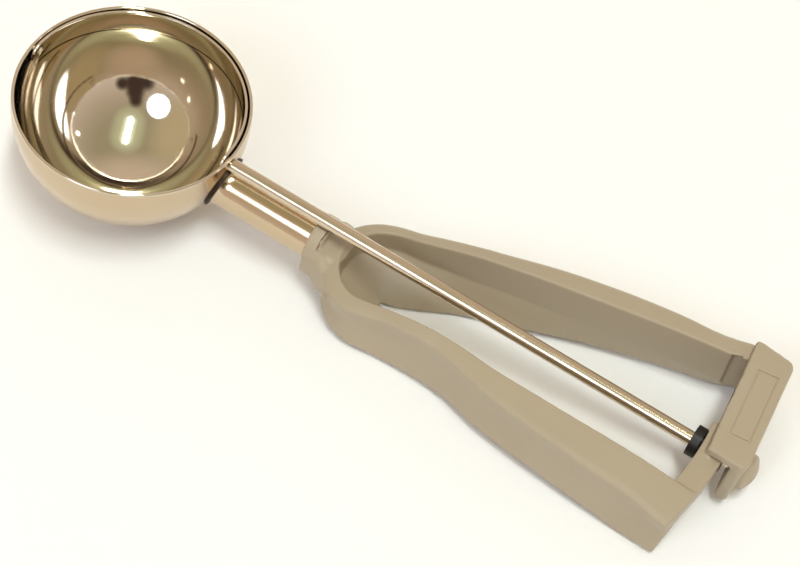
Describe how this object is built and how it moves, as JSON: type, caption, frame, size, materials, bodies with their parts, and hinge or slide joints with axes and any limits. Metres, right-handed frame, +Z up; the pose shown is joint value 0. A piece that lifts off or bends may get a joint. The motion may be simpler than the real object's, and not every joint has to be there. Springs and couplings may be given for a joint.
{
  "type": "lever ice cream scoop",
  "caption": "Squeeze-handled portioning scoop: a steel bowl whose half-ring blade is swept by a rack and pinion when the sprung near arm is squeezed.",
  "frame": {"origin": "on the table, below the middle of the outline in plan", "axes": "+X from the bowl towards the rear of the handle, +Y towards the fixed far arm, +Z up from the table"},
  "size_m": [0.2424, 0.07, 0.0431],
  "materials": {
    "polished_steel": "mirror polished",
    "dark_steel": "heat-darkened seam",
    "drawn_steel": "bright drawn",
    "handle_plastic": "fine matt moulded",
    "black_plastic": "satin moulded"
  },
  "bodies": {
    "frame": {"bowl": "polished_steel", "bowl_saddle": "dark_steel", "shank_tube": "polished_steel", "pivot_pin": "polished_steel", "handle_frame": "handle_plastic"},
    "lever": {"lever_arm": "handle_plastic"},
    "sweeper": {"rod": "drawn_steel", "scraper_blade": "polished_steel", "pinion": "black_plastic"}
  },
  "joints": [
    {"name": "lever_squeeze", "type": "hinge", "parent": "frame", "child": "lever", "pos_m": [0.00703, -0.008, 0.01834], "axis": [0.1245, 0, 0.9922], "range_deg": [0, 6.6], "stiffness_Nm_per_rad": 15, "springref_deg": -1.15},
    {"name": "blade_sweep", "type": "hinge", "parent": "frame", "child": "sweeper", "pos_m": [0.01361, 0, 0.02255], "axis": [0.9922, 0, -0.1245], "range_deg": [-178, 0]}
  ],
  "couplings": [
    {"joint": "blade_sweep", "follows": "lever_squeeze", "ratio": -26.88}
  ]
}
